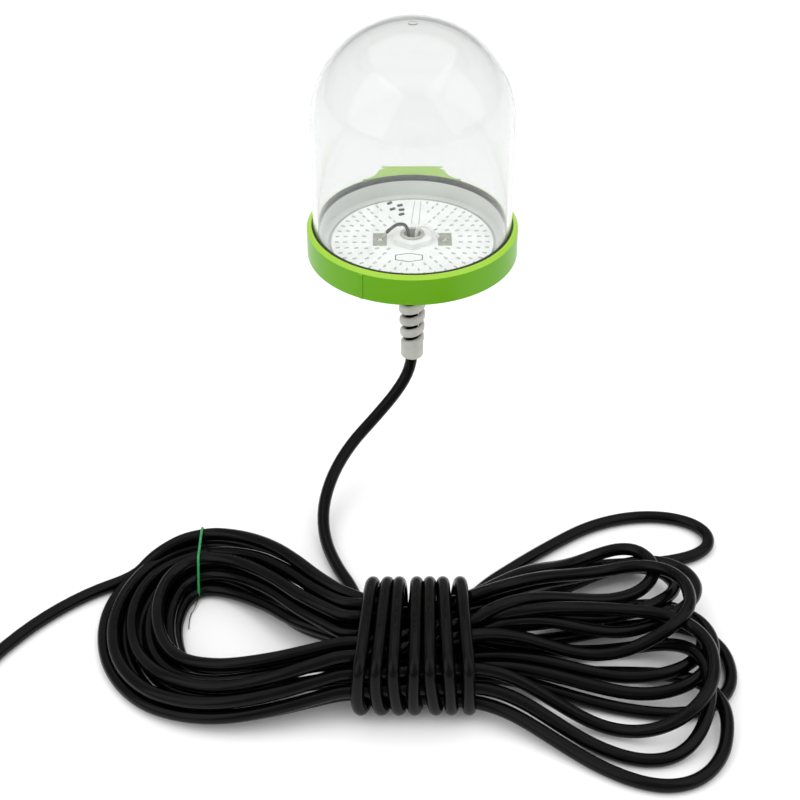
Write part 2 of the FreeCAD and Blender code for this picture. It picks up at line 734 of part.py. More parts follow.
def make_cables():
    core = doc.addObject("Part::Cylinder", "cable_core")
    bind(core, Radius="cable_r", Height="tip_drop + cable_top")
    stand(core, "0 - tip_drop")
    tube("black_wire", BLACK_WIRE_ROUTE, "wire_r")
    tube("white_wire", WHITE_WIRE_ROUTE, "wire_r")
    make_bare_strands()
    least_bend = 2 * size("cable_r") * 2
    tube("cable_lead", LEAD_ROUTE, "cable_r", least_bend, report=True)
    tube("cable_tail", TAIL_ROUTE, "cable_r", least_bend, report=True)


def make_bare_strands():
    """Two tinned strands from each wire's cut end to its solder joint."""
    strands = []
    for side, route in ((-1, BLACK_WIRE_ROUTE), (1, WHITE_WIRE_ROUTE)):
        start = Vector(*route[-1])
        joint = Vector(side * size("tin_x"), -size("lug_reach"), size("board_top") - size("ring_mid"))
        for shift in (-1, 1):
            spread = shift * size("strand_spread")
            end = joint + Vector(0, spread, size("strand_r") + size("tin_thick"))
            heading = end - start
            strands.append(
                Part.makeCylinder(size("strand_r"), heading.Length, start, heading)
            )
    fused = [strands[0].fuse(strands[1]), strands[2].fuse(strands[3])]
    solid_feature("bare_strands", Part.makeCompound(fused))


# The hank's two lobes: centre x, centre y, half length along x, half depth along y.
LEFT_LOBE = (-115, -259, 78, 82)
RIGHT_LOBE = (110, -271, 86, 116)
WAIST_MIDDLE = (-5, -298)


def make_hank():
    """The outer shape of the folded and tied bundle."""
    floor = -size("floor_drop")
    pieces = []
    for middle_x, middle_y, half_x, half_y in (LEFT_LOBE, RIGHT_LOBE):
        long_first = half_x >= half_y
        ring = Part.Ellipse(Vector(), max(half_x, half_y), min(half_x, half_y)).toShape()
        ring.Placement = Placement(
            Vector(middle_x, middle_y, floor), Rotation(Vector(0, 0, 1), 0 if long_first else 90)
        )
        pieces.append(Part.Face(Part.Wire(ring)).extrude(Vector(0, 0, size("lobe_high"))))
    waist = block(size("waist_long"), size("waist_deep"), size("waist_high"))
    waist = waist.makeFillet(size("waist_round"), waist.Edges)
    waist.translate(Vector(*WAIST_MIDDLE, floor))
    solid = pieces[0].fuse([pieces[1], waist]).removeSplitter()
    solid_feature("cable_hank", solid.Solids[0])


# The tie's corner on the floor, below the far side of the left lobe.
TIE_PLACE = (-136, -246)
PARALLEL = 0.99


def runs_along_x(edge):
    return abs(edge.tangentAt(edge.FirstParameter).x) > PARALLEL


def make_tie():
    """A wire tie round one side of the left lobe."""
    deep = size("tie_deep")
    high = size("tie_high")
    thick = size("tie_thick")
    wide = size("tie_wide")
    outer = Part.makeBox(wide, deep, high)
    outer = outer.makeFillet(size("cable_r"), [edge for edge in outer.Edges if runs_along_x(edge)])
    inner = Part.makeBox(wide, deep - 2 * thick, high - 2 * thick, Vector(0, thick, thick))
    inner = inner.makeFillet(
        size("cable_r") - thick, [edge for edge in inner.Edges if runs_along_x(edge)]
    )
    loop = outer.cut(inner)
    place = Placement(Vector(*TIE_PLACE, -size("floor_drop")), Rotation())
    solid_feature("twist_tie", loop, place)


def make_plug():
    """A moulded two-blade plug lying on the floor at the end of the cable."""
    x, y, z = TAIL_ROUTE[-1]
    toward_plug = Rotation(Vector(1, 0, 0), 90)
    relief = doc.addObject("Part::Cone", "plug_relief")
    bind(relief, Radius1="relief_neck_r", Radius2="relief_r", Height="relief_long")
    relief.Placement = Placement(Vector(x, y, z), toward_plug)

    body = doc.addObject("Part::Box", "plug_block")
    bind(body, Length="plug_wide", Width="plug_long", Height="plug_high")
    body.Placement = Placement(Vector(0, 0, -size("floor_drop")), Rotation())
    body.setExpression("Placement.Base.x", f"{x} - dims.plug_wide / 2")
    body.setExpression("Placement.Base.y", f"{y} - dims.relief_long - dims.plug_long")
    doc.recompute()
    rounded = doc.addObject("Part::Fillet", "plug_body")
    rounded.Base = body
    radius = size("plug_round")
    rounded.Edges = [(index + 1, radius, radius) for index in range(len(body.Shape.Edges))]

    blades = []
    for side in (-1, 1):
        blade = doc.addObject("Part::Box", "blade_right" if side > 0 else "blade_left")
        bind(blade, Length="blade_thick", Width="blade_long", Height="blade_high")
        blade.Placement = Placement(Vector(0, 0, z - size("blade_high") / 2), Rotation())
        blade.setExpression(
            "Placement.Base.x", f"{x} + ({side}) * dims.blade_gap / 2 - dims.blade_thick / 2"
        )
        blade.setExpression(
            "Placement.Base.y",
            f"{y} - dims.relief_long - dims.plug_long - dims.blade_long",
        )
        blades.append(blade)
    pair = doc.addObject("Part::Compound", "plug_blades")
    pair.Links = blades


# --- build and export ---------------------------------------------------------------------

NODES = (
    "clamp_ring", "lug_inserts", "dome", "dome_gasket", "base_cup", "cup_sealant",
    "thermal_pad", "led_board", "leds", "driver_chips", "solder_pads", "solder_joints",
    "gland_locknut", "gland_body", "gland_o_ring", "gland_seal", "gland_claw", "gland_nut",
    "cable_core", "black_wire", "white_wire", "bare_strands", "cable_lead", "cable_hank",
    "twist_tie", "cable_tail", "plug_relief", "plug_body", "plug_blades",
)


def check_and_export():
    doc.recompute()
    for thing in doc.Objects:
        if {"Invalid", "Error"} & set(thing.State):
            raise RuntimeError(f"{thing.Name} failed: {thing.State}")
    for name in NODES:
        shape = doc.getObject(name).Shape
        if shape.isNull() or not shape.isValid() or not shape.Solids:
            raise RuntimeError(f"{name} has no valid solid")
        shape.exportStep(f"parts/{name}.step")
        box = shape.BoundBox
        print(f"{name:14s} solids {len(shape.Solids):3d} volume {shape.Volume:10.0f}"
              f"  z {box.ZMin:8.2f} {box.ZMax:8.2f}")


make_clamp_ring()
make_lug_inserts()
make_dome()
make_seal_and_cup()
make_board()
make_board_parts()
make_gland()
make_claw()
make_gland_nut()
make_cables()
make_hank()
make_tie()
make_plug()
check_and_export()
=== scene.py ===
import json
import math

import bmesh
import bpy
import numpy as np
from mathutils import Matrix, Vector


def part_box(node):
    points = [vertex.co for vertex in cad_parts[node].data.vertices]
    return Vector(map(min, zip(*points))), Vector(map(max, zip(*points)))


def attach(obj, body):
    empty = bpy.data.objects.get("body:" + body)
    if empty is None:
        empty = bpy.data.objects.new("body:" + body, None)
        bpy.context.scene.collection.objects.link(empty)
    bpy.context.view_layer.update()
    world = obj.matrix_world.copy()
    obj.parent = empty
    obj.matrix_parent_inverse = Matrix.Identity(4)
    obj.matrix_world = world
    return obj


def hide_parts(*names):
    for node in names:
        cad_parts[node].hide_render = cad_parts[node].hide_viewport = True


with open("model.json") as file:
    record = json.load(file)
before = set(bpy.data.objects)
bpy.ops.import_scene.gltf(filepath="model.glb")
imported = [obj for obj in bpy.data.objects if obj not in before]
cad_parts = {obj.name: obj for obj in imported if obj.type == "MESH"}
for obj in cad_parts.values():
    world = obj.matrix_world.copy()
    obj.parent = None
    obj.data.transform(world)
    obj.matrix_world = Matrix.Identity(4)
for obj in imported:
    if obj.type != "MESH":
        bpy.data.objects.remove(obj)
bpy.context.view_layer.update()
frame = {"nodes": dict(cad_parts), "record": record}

# Looks of an underwater pond light, in metres, in the part's own frame:
# the origin is the middle of the fixing lug's face and the lamp's axis is upright.

NODES = frame["nodes"]
AXIS_Y = sum(corner.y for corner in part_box("gland_nut")) / 2
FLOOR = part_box("cable_hank")[0].z

# --- camera -------------------------------------------------------------------------------

CAMERA_PLACE = (-0.00825, -1.029, 0.558)
CAMERA_PITCH = 35.88
CAMERA_ROLL = -0.15
CAMERA_LENS = 76.5


def add_camera():
    """The camera that took the photo, as far as the lamp's landmarks tell."""
    camera = bpy.data.objects.new("camera", bpy.data.cameras.new("camera"))
    camera.data.lens = CAMERA_LENS
    camera.location = CAMERA_PLACE
    tilt = Matrix.Rotation(math.radians(90 - CAMERA_PITCH), 4, "X")
    camera.rotation_euler = (tilt @ Matrix.Rotation(math.radians(CAMERA_ROLL), 4, "Z")).to_euler()
    bpy.context.scene.collection.objects.link(camera)
    bpy.context.scene.camera = camera


add_camera()

# --- cable --------------------------------------------------------------------------------

CABLE_D = 0.008
CABLE_R = CABLE_D / 2
LYING = FLOOR + CABLE_R

# The uncoiled stretches, from the gland to the hank and from the hank to the plug.
LEAD_ROUTE = (
    (0, -.076, -.093), (-.001, -.077, -.104), (-.010, -.084, -.118), (-.025, -.096, -.131),
    (-.042, -.111, -.143), (-.054, -.130, -.154), (-.060, -.154, -.163), (-.058, -.180, -.169),
    (-.049, -.205, -.171), (-.040, -.222, -.171),
)
TAIL_ROUTE = (
    (-.178, -.214, -.171), (-.206, -.229, -.171), (-.236, -.257, -.171), (-.262, -.296, -.171),
    (-.281, -.340, -.169), (-.281, -.376, -.167),
)

# The hank's waist, where the wraps hold it.
WAIST_Y = -.298
WAIST_LEFT = -.042
WAIST_RIGHT = .033
WAIST_INSIDE = -.028
WAIST_HALF_DEEP = .0405
WAIST_HALF_HIGH = .0215
WAIST_ROUND = .014
WRAP_MIDDLE = FLOOR + CABLE_R + WAIST_HALF_HIGH
WRAPS = 7
WRAP_STEPS = 16
WRAP_CUT = 3            # steps left out of the last wrap, so that it ends under the far side
WRAP_TOP = 0.25         # the share of a wrap at which it lies on top, where its places are given
WRAP_SWAY = .0011       # how far the wraps lean out of their even places
WRAP_SWAY_RATE = 2.3
WRAP_FLAT = 0.5         # how soon a wrap's flat faces turn into its round corners
WRAP_FAR_X = (-.022, .0083)     # the first wrap's place on the far side, and the next one's step
WRAP_NEAR_X = (-.036, .0107)    # the same on the near side
SLOT_ROWS = (FLOOR + .0125, FLOOR + .0205, FLOOR + .029, FLOOR + .0375)

# The cable's turns, in the order that it makes them. Each goes round the left lobe and out to one
# of the right loops: (distance from the waist's middle, row in the waist, place across the left
# lobe, right loop's tip x and y, the loop's half width).
TURNS = (
    (.0055, 2, -1.5, .162, -.223, .026),
    (.0110, 1, -2.0, .175, -.272, .033),
    (.0110, 3, -1.0, .149, -.215, .023),
    (.0165, 0, -1.0, .190, -.296, .037),
    (.0165, 2, -0.5, .174, -.232, .029),
    (.0220, 1, 0.0, .179, -.288, .033),
    (.0220, 3, 0.5, .167, -.252, .032),
    (.0275, 0, 1.0, .178, -.357, .042),
    (.0275, 2, 1.5, .175, -.316, .039),
    (.0330, 1, 2.0, .171, -.333, .043),
)
STRAY_SLOT = (.0365, 0)
TAIL_SLOT = (.0315, 3)
LOBE_PITCH = .0085
LOBE_DRIFT = .0011        # how far a turn strays from its even place in the left lobe,
DRIFT_PER_TURN = 1.7      # and how fast that changes from turn to turn and along a turn
DRIFT_PER_STEP = 0.9

# The middle of the left lobe's bundle, from the waist's far side round to its near side.
LEFT_LOBE = (
    (-.062, -.262), (-.082, -.237), (-.106, -.216), (-.131, -.207), (-.153, -.215),
    (-.165, -.236), (-.168, -.262), (-.161, -.291), (-.144, -.314), (-.116, -.326),
    (-.080, -.325),
)
# How far apart the turns lie at each of those points, as a share of LOBE_PITCH.
LOBE_SPREAD = (0.8, 0.95, 1.0, 1.05, 1.15, 1.25, 1.3, 1.25, 1.1, 1.0, 0.95)
# The single loop that has slipped out of the right side, from the last wrap back into the waist.
STRAY_LOOP = (
    (.029, -.262), (.031, -.246), (.043, -.226), (.063, -.207), (.088, -.186), (.116, -.166),
    (.144, -.156), (.170, -.156), (.189, -.165), (.195, -.180), (.185, -.193), (.160, -.201),
    (.128, -.203), (.098, -.208), (.072, -.221), (.050, -.243),
)
# The last stretch over the left lobe, before the tail.
LAST_LEG = (
    (-.060, -.250), (-.076, -.231), (-.095, -.212), (-.116, -.198), (-.138, -.193), (-.159, -.202),
)
# From the lead, along the floor, up to where the first wrap starts.
LEAD_TO_WRAPS = ((-.034, -.241, LYING), (-.028, -.258, LYING + .006))

SPAN_SAMPLES = 12     # samples between two given points
SAMPLE_STEP = .004    # the even step between samples after that, in metres
POINT_EVERY = 3       # one sample in this many becomes a control point
SETTLE_REACH = 4      # samples on either side that a crossing lifts
SETTLE_BLUR = 5       # samples on either side that smooth a lift
SETTLE_D = .0074      # turns pressed on one another sit a little closer than their diameter
FALL_LENGTH = .055    # the distance in which a turn sinks from the waist to the floor
FAN_SHIFT = .0165     # how far a loop's root moves towards the side that its tip lies on
FAN_FULL = .065       # the tip's distance from the waist's line at which it has moved that far
FAN_LEG = .007        # half the gap between a loop's two legs at the waist, and how it grows
FAN_LEG_GROWS = .42   # with the turn's place in the waist
LOOP_STEPS = 18
LOOP_ROOT_STEPS = 2   # the first of those steps that counts, the rest being too near the root
LOOP_TAPER = 2.2      # how late a right loop's legs part
LOOP_WIDEST = 1.58    # one over the taper's widest place


def spread_evenly(points):
    """Points SAMPLE_STEP apart along a smooth line through a few given ones."""
    points = np.array(points, float)
    ends = np.vstack((2 * points[0] - points[1], points, 2 * points[-1] - points[-2]))
    line = []
    for a, b, c, d in zip(ends[:-3], ends[1:-2], ends[2:-1], ends[3:]):
        for t in np.linspace(0, 1, SPAN_SAMPLES, endpoint=False):
            line.append(0.5 * (2 * b + (c - a) * t + (2 * a - 5 * b + 4 * c - d) * t**2
                               + (3 * b - a - 3 * c + d) * t**3))
    line = np.array(line + [points[-1]])
    run = np.concatenate(([0], np.cumsum(np.linalg.norm(np.diff(line, axis=0), axis=1))))
    marks = np.linspace(0, run[-1], max(2, round(run[-1] / SAMPLE_STEP)))
    return np.column_stack([np.interp(marks, run, line[:, axis]) for axis in range(line.shape[1])])


def smoothed(values, reach):
    """A running mean whose ends stay where they are."""
    padded = np.concatenate((np.full(reach, values[0]), values, np.full(reach, values[-1])))
    mean = np.convolve(padded, np.ones(2 * reach + 1) / (2 * reach + 1), "valid")
    mean[0], mean[-1] = values[0], values[-1]
    return mean


def settled(plan, laid, start_z, end_z):
    """The plan line with heights: it rests on the floor, or on what lies there already.

    start_z and end_z are the heights at its two ends where the waist holds them, or None.
    """
    run = np.arange(len(plan)) * SAMPLE_STEP
    heights = np.full(len(plan), LYING)
    for edge_z, from_edge in ((start_z, run), (end_z, run[-1] - run)):
        if edge_z is not None:
            fall = np.clip(from_edge / FALL_LENGTH, 0, 1)
            eased = fall * fall * (3 - 2 * fall)
            heights = np.maximum(heights, edge_z + (LYING - edge_z) * eased)
    if len(laid):
        for index, (x, y) in enumerate(plan):
            flat = np.hypot(laid[:, 0] - x, laid[:, 1] - y)
            near = flat < SETTLE_D
            if near.any() and SETTLE_REACH < index < len(plan) - SETTLE_REACH:
                rest = laid[near, 2] + np.sqrt(SETTLE_D**2 - flat[near] ** 2)
                heights[index] = max(heights[index], rest.max())
    padded = np.pad(heights, SETTLE_REACH, mode="edge")
    raised = np.array([padded[i:i + 2 * SETTLE_REACH + 1].max() for i in range(len(heights))])
    raised[0], raised[-1] = heights[0], heights[-1]
    return np.column_stack((plan, smoothed(smoothed(raised, SETTLE_BLUR), SETTLE_BLUR)))


def slot_point(side_x, half, place):
    """Where a turn enters the waist: half is +1 on the far side and -1 on the near side."""
    return side_x, WAIST_Y + half * place


def left_plan(turn, index):
    """One turn's line round the left lobe, from the waist's far side to its near side."""
    place, _, across = turn[:3]
    middle = np.array(LEFT_LOBE)
    along = np.gradient(middle, axis=0)
    outward = np.column_stack((along[:, 1], -along[:, 0])) / np.linalg.norm(along, axis=1)[:, None]
    drift = np.array([LOBE_DRIFT * math.sin(DRIFT_PER_TURN * index + DRIFT_PER_STEP * step)
                      for step in range(len(middle))])
    reach = across * LOBE_PITCH * np.array(LOBE_SPREAD) + drift
    inner = middle + outward * reach[:, None]
    return spread_evenly([slot_point(WAIST_LEFT, 1, place), *inner,
                          slot_point(WAIST_LEFT, -1, place)])


def right_plan(turn):
    """One turn's loop on the right, from the waist's near side round its tip to the far side."""
    place, _, _, tip_x, tip_y, half_wide = turn
    shift = FAN_SHIFT * np.clip((tip_y - WAIST_Y) / FAN_FULL, -1, 1)
    leg = FAN_LEG + FAN_LEG_GROWS * place
    base = np.array((WAIST_RIGHT, WAIST_Y + shift))
    axis = np.array((tip_x, tip_y)) - base
    long = np.linalg.norm(axis)
    axis = axis / long
    aside = np.array((-axis[1], axis[0]))
    points = [base - (0, leg)]
    for step in range(LOOP_ROOT_STEPS, LOOP_STEPS - LOOP_ROOT_STEPS + 1):
        turn_angle = 2 * math.pi * step / LOOP_STEPS
        reach = (1 - math.cos(turn_angle)) / 2
        width = -math.sin(turn_angle) * abs(math.sin(turn_angle / 2)) ** LOOP_TAPER
        width *= half_wide * LOOP_WIDEST
        slot_pull = (1 - reach) ** 2 * leg * (-1 if step < LOOP_STEPS / 2 else 1)
        points.append(base + axis * long * reach + aside * width + np.array((0, slot_pull)))
    points.append(base + (0, leg))
    return spread_evenly(points)


def wrap_points():
    """The wraps round the waist, from the far side over the top to the near side and under."""
    points = []
    for step in range(WRAPS * WRAP_STEPS - WRAP_CUT):
        angle = 2 * math.pi * step / WRAP_STEPS
        turns_made = step / WRAP_STEPS
        toward_near = (1 - math.cos(angle)) / 2
        far_x = WRAP_FAR_X[0] + WRAP_FAR_X[1] * (turns_made - WRAP_TOP)
        near_x = WRAP_NEAR_X[0] + WRAP_NEAR_X[1] * (turns_made - WRAP_TOP)
        across = np.clip(math.cos(angle) / WRAP_FLAT, -1, 1)
        upward = np.clip(math.sin(angle) / WRAP_FLAT, -1, 1)
        sway = WRAP_SWAY * math.sin(WRAP_SWAY_RATE * turns_made) * upward
        points.append((
            far_x + (near_x - far_x) * toward_near + sway,
            WAIST_Y + (WAIST_HALF_DEEP - WAIST_ROUND) * across + WAIST_ROUND * math.cos(angle),
            WRAP_MIDDLE + (WAIST_HALF_HIGH - WAIST_ROUND) * upward + WAIST_ROUND * math.sin(angle),
        ))
    return points


def thinned(line):
    """About one sample in POINT_EVERY of a line, with both of its ends among them."""
    count = max(2, round(len(line) / POINT_EVERY))
    return line[np.linspace(0, len(line) - 1, count).round().astype(int)]


def cable_points():
    """Every control point of the cable, from the gland to the plug."""
    laid = np.empty((0, 3))
    stray_z = SLOT_ROWS[STRAY_SLOT[1]]
    stray_plan = spread_evenly([*STRAY_LOOP, slot_point(WAIST_RIGHT, 1, STRAY_SLOT[0])])
    stray = settled(stray_plan, laid, None, stray_z)
    laid = stray
    left = {}
    right = {}
    lowest_first = sorted(range(len(TURNS)), key=lambda index: TURNS[index][1])
    for index in lowest_first:
        turn = TURNS[index]
        row_z = SLOT_ROWS[turn[1]]
        left[index] = settled(left_plan(turn, index), laid, row_z, row_z)
        right[index] = settled(right_plan(turn), laid, row_z, row_z)
        laid = np.vstack((laid, left[index], right[index]))
    tail_plan = spread_evenly([slot_point(WAIST_LEFT, 1, TAIL_SLOT[0]), *LAST_LEG,
                               TAIL_ROUTE[0][:2]])
    last_leg = settled(tail_plan, laid, SLOT_ROWS[TAIL_SLOT[1]], None)

    points = list(LEAD_ROUTE)
    points += LEAD_TO_WRAPS
    points += wrap_points()
    points += list(thinned(stray))
    for index in range(len(TURNS)):
        inside_y, inside_z = TURNS[index][0], SLOT_ROWS[TURNS[index][1]]
        points.append((WAIST_INSIDE, WAIST_Y + inside_y, inside_z))
        points += list(thinned(left[index]))
        points.append((WAIST_INSIDE, WAIST_Y - inside_y, inside_z))
        points += list(thinned(right[index]))
    points += list(thinned(last_leg)[:-1])
    points += list(TAIL_ROUTE)
    return points


def add_cable(material, points, ties):
    """The whole cable as one round spline. Its ties argument is not used."""
    curve = bpy.data.curves.new("supply_cable", "CURVE")
    curve.dimensions = "3D"
    curve.bevel_depth = CABLE_R
    curve.bevel_resolution = 5
    curve.resolution_u = 4
    curve.use_fill_caps = True
    spline = curve.splines.new("NURBS")
    spline.points.add(len(points) - 1)
    for point, place in zip(spline.points, points):
        point.co = (*place, 1)
    spline.order_u = 3
    spline.use_endpoint_u = True
    cable = bpy.data.objects.new("supply_cable", curve)
    bpy.context.scene.collection.objects.link(cable)
    curve.materials.append(material)
    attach(cable, "lamp")
    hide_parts("cable_lead", "cable_hank", "cable_tail")


# --- materials ----------------------------------------------------------------------------

NOISE_DETAIL = 4
RAMP_ENDS = (0.35, 0.65)     # the noise values at which a colour reaches its darkest and palest
GLOSS_FINER = 2              # how many times finer the patches of gloss are than those of colour
CABLE_DARK = (.0007, .0008, .0008)
CABLE_LIGHT = (.0018, .002, .002)
DOME_IOR = 1.33
DOME_TINT = (.865, .875, .87)
DOME_CLEARNESS = .955
DOME_PASSES = (.97, .975, .97)      # what the dome lets through of a lamp's light
# The paler green is a painted highlight on the ring's upward-facing surfaces.
PAINTED_HIGHLIGHT_GREEN = (.34, .58, .05)
HIGHLIGHT_FACING = (.35, .8)       # how far up a surface faces where the painted highlight starts and is full

def new_material(name, colour, roughness, **sockets):
    """A material whose uniform values sit on its own shader."""
    material = bpy.data.materials.new(name)
    material.use_nodes = True
    shader = material.node_tree.nodes["Principled BSDF"]
    shader.inputs["Base Color"].default_value = (*colour, 1)
    shader.inputs["Roughness"].default_value = roughness
    for socket, value in sockets.items():
        shader.inputs[socket.replace("_", " ")].default_value = value
    return material


def noise(material, scale):
    """Noise in object space, whose value other nodes read."""
    nodes = material.node_tree.nodes
    links = material.node_tree.links
    place = nodes.new("ShaderNodeTexCoord")
    texture = nodes.new("ShaderNodeTexNoise")
    texture.inputs["Scale"].default_value = scale
    texture.inputs["Detail"].default_value = NOISE_DETAIL
    links.new(place.outputs["Object"], texture.inputs["Vector"])
    return texture


def vary_colour(material, low, high, scale):
    """A base colour that drifts between low and high."""
    texture = noise(material, scale)
    ramp = material.node_tree.nodes.new("ShaderNodeValToRGB")
    ramp.color_ramp.elements[0].position = RAMP_ENDS[0]
    ramp.color_ramp.elements[0].color = (*low, 1)
    ramp.color_ramp.elements[1].position = RAMP_ENDS[1]
    ramp.color_ramp.elements[1].color = (*high, 1)
    links = material.node_tree.links
    shader = material.node_tree.nodes["Principled BSDF"]
    links.new(texture.outputs["Fac"], ramp.inputs["Fac"])
    links.new(ramp.outputs["Color"], shader.inputs["Base Color"])


def vary_roughness(material, low, high, scale):
    """A roughness that drifts between low and high."""
    texture = noise(material, scale)
    shader = material.node_tree.nodes["Principled BSDF"]
    spread = material.node_tree.nodes.new("ShaderNodeMapRange")
    spread.inputs["To Min"].default_value = low
    spread.inputs["To Max"].default_value = high
    links = material.node_tree.links
    links.new(texture.outputs["Fac"], spread.inputs["Value"])
    links.new(spread.outputs["Result"], shader.inputs["Roughness"])


def add_bump(material, scale, distance, strength):
    """A fine grain on the surface."""
    texture = noise(material, scale)
    shader = material.node_tree.nodes["Principled BSDF"]
    bump = material.node_tree.nodes.new("ShaderNodeBump")
    bump.inputs["Strength"].default_value = strength
    bump.inputs["Distance"].default_value = distance
    links = material.node_tree.links
    links.new(texture.outputs["Fac"], bump.inputs["Height"])
    links.new(bump.outputs["Normal"], shader.inputs["Normal"])


def mixed(name, low, high, patch, rough, grain, **sockets):
    """A material with a colour that drifts from low to high, uneven gloss, and a fine grain.

    patch is about how many patches fit in a metre, rough is (least, most) and grain is
    (grains in a metre, their depth in metres, how strong they look).
    """
    material = new_material(name, high, rough[1], **sockets)
    vary_colour(material, low, high, patch)
    vary_roughness(material, *rough, patch * GLOSS_FINER)
    add_bump(material, *grain)
    return material


def let_light_in(material):
    """Lamps shine straight through this clear material."""
    nodes = material.node_tree.nodes
    links = material.node_tree.links
    clear = nodes.new("ShaderNodeBsdfTransparent")
    clear.inputs["Color"].default_value = (*DOME_PASSES, 1)
    either = nodes.new("ShaderNodeMixShader")
    ray = nodes.new("ShaderNodeLightPath")
    bent = nodes.new("ShaderNodeMath")
    bent.operation = "MAXIMUM"
    links.new(ray.outputs["Is Shadow Ray"], bent.inputs[0])
    links.new(ray.outputs["Is Diffuse Ray"], bent.inputs[1])
    links.new(bent.outputs["Value"], either.inputs["Fac"])
    links.new(nodes["Principled BSDF"].outputs["BSDF"], either.inputs[1])
    links.new(clear.outputs["BSDF"], either.inputs[2])
    links.new(either.outputs["Shader"], nodes["Material Output"].inputs["Surface"])


def dome_material():
    """Clear moulded plastic with the faintest haze and flow marks."""
    material = new_material("dome_clear", DOME_TINT, .02, IOR=DOME_IOR,
                            Transmission_Weight=DOME_CLEARNESS)
    vary_roughness(material, .01, .03, 12)
    add_bump(material, 6, .0008, .03)
    let_light_in(material)
    return material


MATERIALS = {
    "ring_green": mixed("ring_green", (.112, .335, .0003), (.122, .350, .0005), 18, (.28, .34),
                        (1600, .00004, .2), Specular_IOR_Level=.25),
    "brass_insert": mixed("brass_insert", (.62, .42, .17), (.80, .60, .28), 400, (.18, .38),
                          (2200, .00004, .4), Metallic=1),
    "dome_clear": dome_material(),
    "gasket_rubber": mixed("gasket_rubber", (.010, .012, .010), (.024, .027, .022), 160, (.35, .55),
                           (1500, .00005, .3)),
    "cup_plastic": mixed("cup_plastic", (.55, .57, .55), (.63, .65, .62), 30, (.4, .55),
                         (1300, .00004, .25)),
    "sealant_white": mixed("sealant_white", (.70, .69, .65), (.82, .81, .77), 130, (.3, .5),
                           (350, .0003, .4), Subsurface_Weight=.1),
    "pad_grey": mixed("pad_grey", (.26, .28, .31), (.36, .38, .42), 200, (.6, .8),
                      (1200, .00006, .3)),
    "board_white": mixed("board_white", (.83, .85, .84), (.93, .94, .93), 90, (.25, .4),
                         (900, .00005, .2), Coat_Weight=.3, Coat_Roughness=.12),
    # The LED packages are grey: partly their grey lenses, partly painted shade for the thin shadow
    # that each package casts on the board.
    "led_package": mixed("led_package", (.42, .43, .43), (.60, .61, .61), 700, (.2, .35),
                         (2500, .00003, .3), Coat_Weight=.5),
    "chip_black": mixed("chip_black", (.012, .012, .013), (.030, .030, .032), 900, (.35, .55),
                        (3000, .00003, .4)),
    "pad_tin": mixed("pad_tin", (.33, .34, .28), (.45, .46, .38), 260, (.35, .6),
                     (1400, .00006, .5), Metallic=.35),
    "solder": mixed("solder", (.55, .55, .52), (.82, .82, .80), 600, (.12, .3),
                    (1800, .00006, .4), Metallic=1),
    "gland_white": mixed("gland_white", (.78, .79, .77), (.87, .88, .86), 90, (.35, .5),
                         (1800, .00004, .3)),
    "gland_grey": mixed("gland_grey", (.40, .40, .36), (.50, .50, .45), 70, (.38, .55),
                        (1500, .00005, .35), Subsurface_Weight=.05),
    "seal_rubber": mixed("seal_rubber", (.012, .012, .012), (.028, .028, .028), 200, (.4, .6),
                         (1600, .00005, .3)),
    "cable_rubber": mixed("cable_rubber", CABLE_DARK, CABLE_LIGHT, 60, (.16, .26),
                          (700, .0002, .12), Specular_IOR_Level=.13),
    "wire_black": mixed("wire_black", (.006, .006, .006), (.014, .014, .015), 300, (.25, .4),
                        (1500, .00004, .2)),
    "wire_white": mixed("wire_white", (.76, .76, .73), (.86, .86, .83), 300, (.3, .45),
                        (1500, .00004, .2), Subsurface_Weight=.1),
    "wire_tin": mixed("wire_tin", (.50, .45, .36), (.75, .71, .62), 900, (.2, .4),
                      (2600, .00005, .5), Metallic=1),
    "tie_green": mixed("tie_green", (.010, .22, .055), (.018, .33, .085), 500, (.25, .4),
                       (2000, .00005, .3), Coat_Weight=.2),
    "plug_rubber": mixed("plug_rubber", CABLE_DARK, CABLE_LIGHT, 90, (.42, .62),
                         (1500, .00012, .4), Specular_IOR_Level=.1),
    "blade_nickel": mixed("blade_nickel", (.62, .60, .55), (.78, .76, .71), 300, (.12, .3),
                          (1800, .00004, .4), Metallic=1),
}


def paint_top_highlight(material, colour):
    """Painted highlight: surfaces that face upwards get a paler green base colour, standing in for
    the light that falls on them from above.
    """
    nodes = material.node_tree.nodes
    links = material.node_tree.links
    shader = nodes["Principled BSDF"]
    facing = nodes.new("ShaderNodeTexCoord")
    parts = nodes.new("ShaderNodeSeparateXYZ")
    share = nodes.new("ShaderNodeMapRange")
    share.inputs["From Min"].default_value = HIGHLIGHT_FACING[0]
    share.inputs["From Max"].default_value = HIGHLIGHT_FACING[1]
    blend = nodes.new("ShaderNodeMix")
    blend.data_type = "RGBA"
    before = shader.inputs["Base Color"].links[0].from_socket
    links.new(facing.outputs["Normal"], parts.inputs["Vector"])
    links.new(parts.outputs["Z"], share.inputs["Value"])
    links.new(share.outputs["Result"], blend.inputs["Factor"])
    links.new(before, blend.inputs["A"])
    blend.inputs["B"].default_value = (*colour, 1)
    links.new(blend.outputs["Result"], shader.inputs["Base Color"])


# The ring's upward-facing surfaces get a painted highlight in their base colour.
paint_top_highlight(MATERIALS["ring_green"], PAINTED_HIGHLIGHT_GREEN)
SLOTS = {part["node"]: part["material_slot"] for part in frame["record"]["subparts"]}


def paint_nodes():
    """Every CAD node gets its slot's material."""
    for name, node in NODES.items():
        for held in node.material_slots:
            held.material = MATERIALS[SLOTS[name]]


paint_nodes()

# --- wire tie -----------------------------------------------------------------------------

TIE_X = -.1355
TIE_R = .0008
TIE_END_R = TIE_R / 3
TIE_NEAR_EDGE = -.262     # the tie goes round what lies beyond this line
HULL_SIDES = 16
